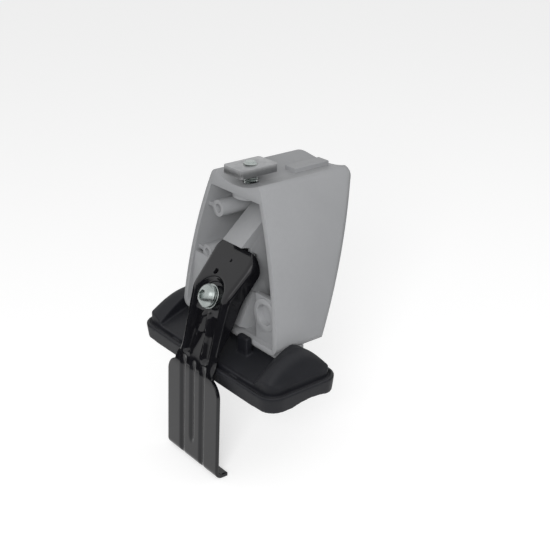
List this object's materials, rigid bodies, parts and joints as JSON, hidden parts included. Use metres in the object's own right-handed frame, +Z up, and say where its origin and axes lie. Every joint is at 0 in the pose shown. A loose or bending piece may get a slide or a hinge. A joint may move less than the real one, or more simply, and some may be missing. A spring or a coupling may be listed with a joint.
{
  "type": "roof bar foot",
  "caption": "Clamp foot for a car roof bar: moulded tower on a rubber pad, with a hooked pressed-steel bracket drawn in by a bolt.",
  "frame": {"origin": "centre of the pad's flat underside", "axes": "+X inboard along the roof bar, +Y along the car, +Z up"},
  "size_m": [0.1051, 0.1322, 0.1814],
  "materials": {
    "tower_plastic": "fine moulded grain",
    "pad_rubber": "matt moulded",
    "bracket_black": "gloss black coat",
    "zinc": "bright zinc plate",
    "steel_dark": "plain steel"
  },
  "bodies": {
    "tower": {"tower_body": "tower_plastic", "rubber_pad": "pad_rubber", "clamp_nut": "zinc", "bearing_plate": "steel_dark", "bar_washer": "zinc"},
    "bracket": {"clamp_bracket": "bracket_black"},
    "washer": {"clamp_washer": "zinc"},
    "bolt": {"clamp_bolt": "zinc"},
    "slider": {"bar_slider": "steel_dark"},
    "bar_bolt": {"bar_bolt": "zinc"}
  },
  "joints": [
    {"name": "bracket_swing", "type": "hinge", "parent": "tower", "child": "bracket", "pos_m": [0.0037, 0, 0.06977], "axis": [0, 1, 0], "range_deg": [0, 10]},
    {"name": "bolt_travel", "type": "slide", "parent": "tower", "child": "washer", "axis": [-0.8829, 0, 0.4695], "range_m": [0, 0.00656]},
    {"name": "bolt_turn", "type": "hinge", "parent": "washer", "child": "bolt", "pos_m": [-0.01472, 0, 0.04576], "axis": [-0.8829, 0, 0.4695], "range_deg": [0, 1886]},
    {"name": "slider_lift", "type": "slide", "parent": "tower", "child": "slider", "axis": [0, 0, 1], "range_m": [-0.003, 0.001]},
    {"name": "bar_bolt_turn", "type": "hinge", "parent": "tower", "child": "bar_bolt", "pos_m": [0.0125, 0, 0.1069], "axis": [0, 0, 1], "range_deg": [-289, 865]}
  ],
  "couplings": [
    {"joint": "bolt_travel", "follows": "bracket_swing", "m_per_rad": 0.0375},
    {"joint": "bolt_turn", "follows": "bracket_swing", "ratio": 188.5},
    {"joint": "bar_bolt_turn", "follows": "slider_lift", "rad_per_m": -5026.5}
  ]
}
